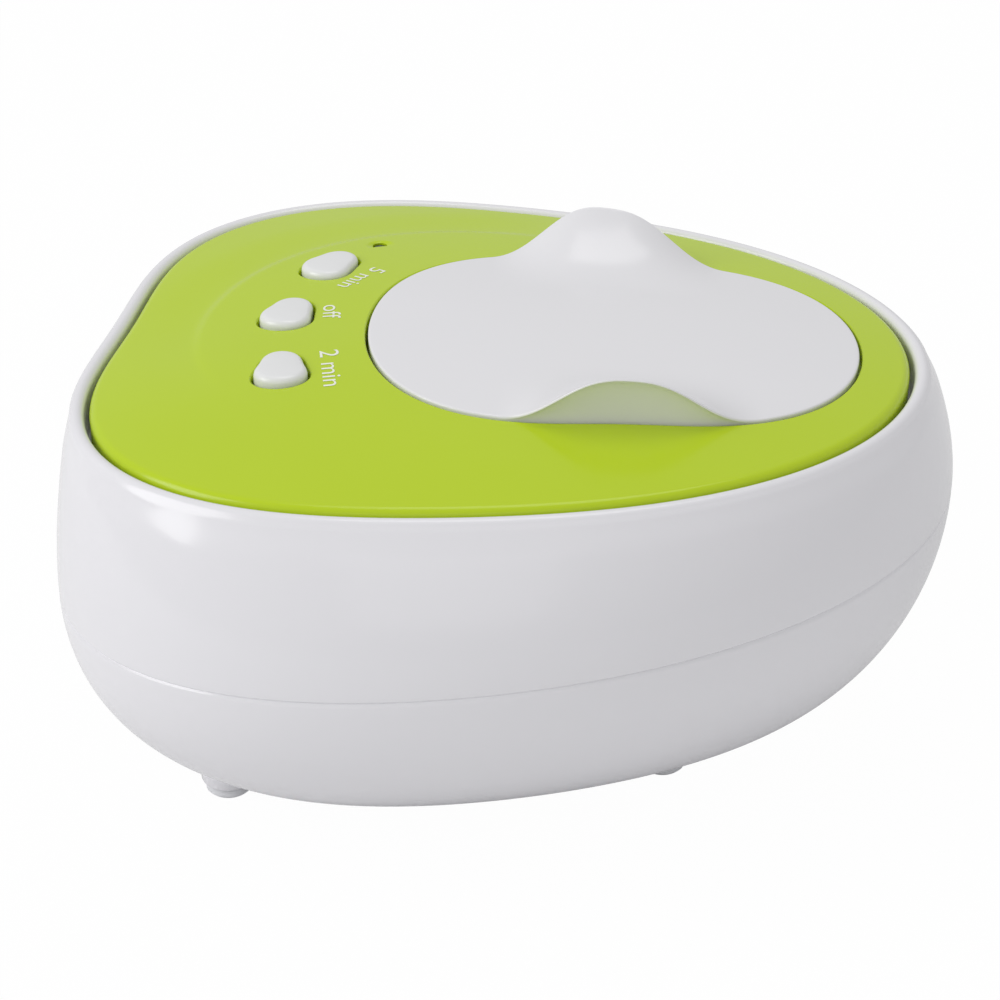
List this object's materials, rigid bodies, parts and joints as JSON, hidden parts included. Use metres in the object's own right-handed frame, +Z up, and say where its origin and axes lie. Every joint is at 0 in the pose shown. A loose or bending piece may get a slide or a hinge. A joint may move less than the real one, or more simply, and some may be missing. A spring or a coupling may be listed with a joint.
{
  "type": "ultrasonic contact lens cleaner",
  "caption": "Pebble-shaped tabletop ultrasonic bath for contact lenses, with a winged lift-off lid, a lens tray in a steel tank and three press buttons on a domed panel.",
  "frame": {"origin": "centre of the footprint on the surface the device stands on", "axes": "+Z up, +X towards the narrow nose with the lid, -X towards the buttons, +Y towards the rear side with the power inlet"},
  "size_m": [0.1454, 0.1466, 0.0818],
  "materials": {
    "white_shell": "glossy moulded white plastic",
    "foot_rubber": "soft pale rubber",
    "screw_steel": "plain zinc-plated steel",
    "green_shell": "glossy lime green plastic",
    "white_button": "glossy white plastic",
    "plunger_black": "black moulded plastic",
    "tank_steel": "satin drawn stainless steel",
    "gasket_rubber": "black silicone rubber",
    "clamp_plastic": "dark moulded plastic",
    "tray_plastic": "translucent white plastic",
    "piezo_ceramic": "fired ceramic with a thin electrode",
    "lead_cover": "flexible insulated wire",
    "board_laminate": "glass-fibre laminate",
    "switch_body": "black moulded plastic",
    "led_lens": "tinted clear resin",
    "spacer_plastic": "black moulded plastic",
    "jack_plastic": "black moulded plastic",
    "ferrite": "grey sintered ferrite",
    "winding_tape": "wound coil under yellow tape",
    "enamelled_wire": "enamelled copper wire on a ring core",
    "can_sleeve": "dark blue shrink sleeve",
    "film_case": "dipped resin case",
    "package_resin": "black moulded resin",
    "sink_aluminium": "extruded aluminium",
    "socket_plastic": "ivory moulded plastic",
    "harness_cover": "flexible bundled wires"
  },
  "bodies": {
    "base": {"lower_housing": "white_shell", "upper_housing": "white_shell", "feet": "foot_rubber", "housing_screws": "screw_steel", "panel_screws": "screw_steel", "clamp_screws": "screw_steel", "switch_board_screws": "screw_steel", "main_board_screws": "screw_steel", "top_panel": "green_shell", "tank": "tank_steel", "tank_gasket": "gasket_rubber", "tank_clamp": "clamp_plastic", "piezo_disc": "piezo_ceramic", "transducer_leads": "lead_cover", "switch_board": "board_laminate", "main_board": "board_laminate", "tact_switches": "switch_body", "indicator_led": "led_lens", "led_spacer": "spacer_plastic", "dc_jack": "jack_plastic", "transformer_core": "ferrite", "transformer_winding": "winding_tape", "inductor": "enamelled_wire", "electrolytic_capacitors": "can_sleeve", "film_capacitor": "film_case", "power_transistor": "package_resin", "timer_chip": "package_resin", "heat_sink": "sink_aluminium", "harness_sockets": "socket_plastic", "signal_harness": "harness_cover"},
    "lid": {"lid": "white_shell"},
    "tray": {"lens_tray": "tray_plastic"},
    "button_five_body": {"button_five": "white_button", "plunger_five": "plunger_black"},
    "button_off_body": {"button_off": "white_button", "plunger_off": "plunger_black"},
    "button_two_body": {"button_two": "white_button", "plunger_two": "plunger_black"}
  },
  "joints": [
    {"name": "lid_lift", "type": "slide", "parent": "base", "child": "lid", "axis": [0, 0, 1], "range_m": [0, 0.07]},
    {"name": "tray_lift", "type": "slide", "parent": "base", "child": "tray", "axis": [0, 0, 1], "range_m": [0, 0.035]},
    {"name": "press_five", "type": "slide", "parent": "base", "child": "button_five_body", "axis": [0, 0, -1], "range_m": [0, 0.0006], "stiffness_N_per_m": 2000},
    {"name": "press_off", "type": "slide", "parent": "base", "child": "button_off_body", "axis": [0, 0, -1], "range_m": [0, 0.0006], "stiffness_N_per_m": 2000},
    {"name": "press_two", "type": "slide", "parent": "base", "child": "button_two_body", "axis": [0, 0, -1], "range_m": [0, 0.0006], "stiffness_N_per_m": 2000}
  ],
  "couplings": [
    {"joint": "tray_lift", "follows": "lid_lift", "ratio": 0.5}
  ]
}
